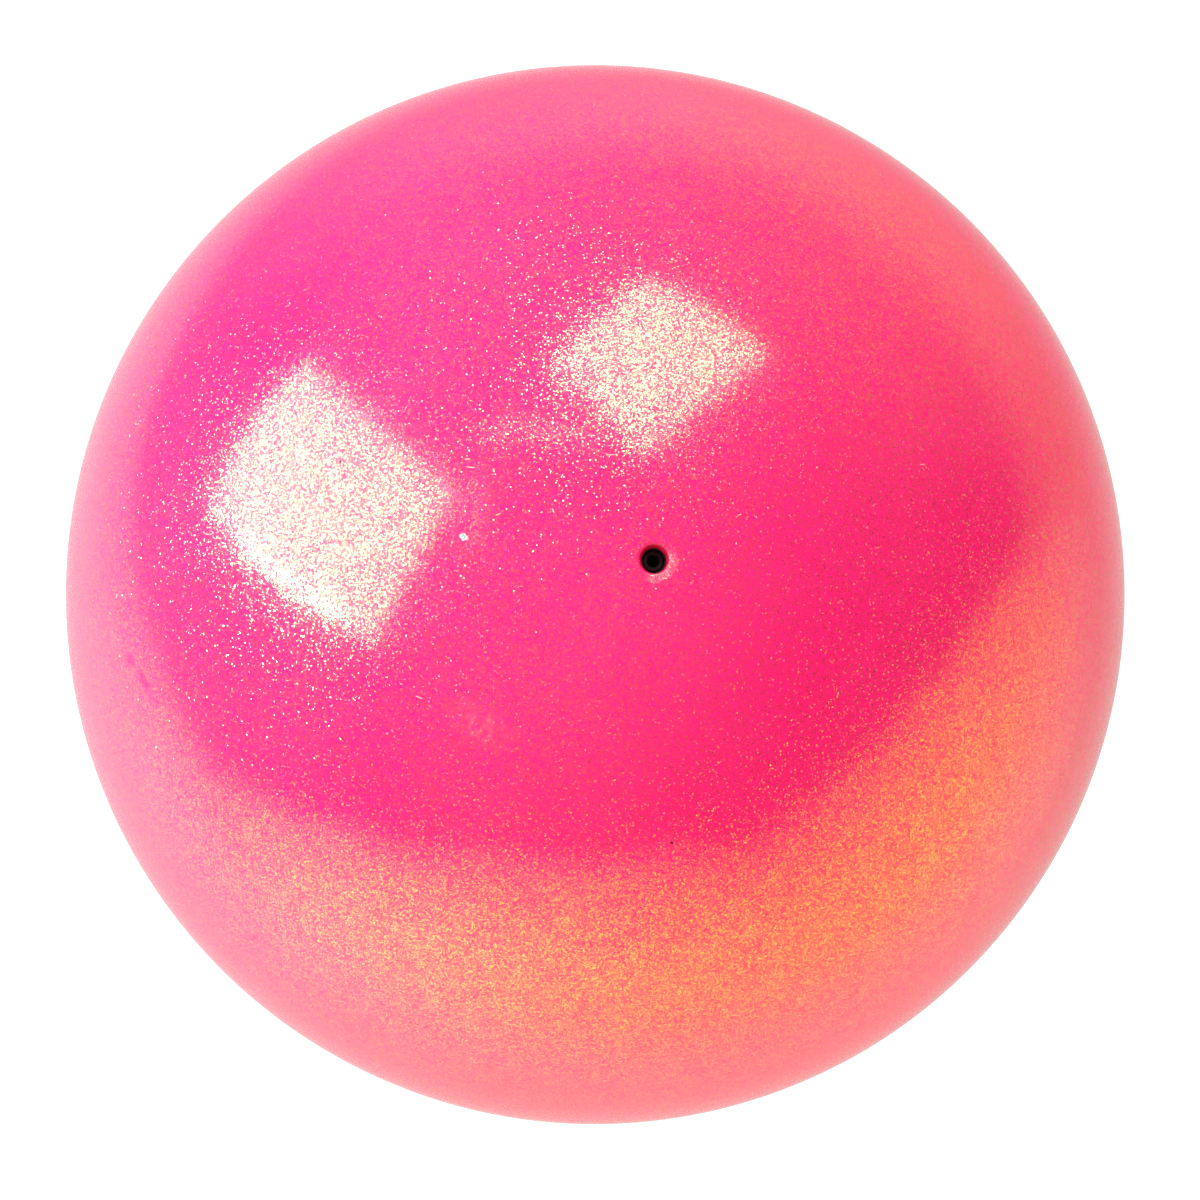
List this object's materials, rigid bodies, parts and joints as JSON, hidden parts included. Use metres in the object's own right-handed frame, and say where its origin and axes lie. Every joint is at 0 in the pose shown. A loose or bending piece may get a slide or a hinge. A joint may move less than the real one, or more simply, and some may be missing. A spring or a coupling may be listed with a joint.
{
  "type": "rhythmic gymnastics ball",
  "caption": "Hollow rubber rhythmic gymnastics ball with a hot pink glitter finish and a recessed self-sealing needle valve.",
  "frame": {"origin": "centre of the ball", "axes": "+Z out through the middle of the needle port; +X and +Y are any two directions square to it, with the lips of the valve insert closing on the XZ plane"},
  "size_m": [0.18, 0.18, 0.18],
  "materials": {
    "glitter_cover": "satin rubber with fine gold and pearl glitter",
    "airtight_liner": "matte",
    "valve_housing": "matte",
    "valve_insert": "satin, lubricated"
  },
  "bodies": {
    "ball": {"glitter_cover": "glitter_cover", "airtight_liner": "airtight_liner", "valve_housing": "valve_housing"},
    "insert": {"valve_insert": "valve_insert"}
  },
  "joints": [
    {"name": "insert_slide", "type": "slide", "parent": "ball", "child": "insert", "axis": [0, 0, 1], "range_m": [0, 0.03]}
  ]
}
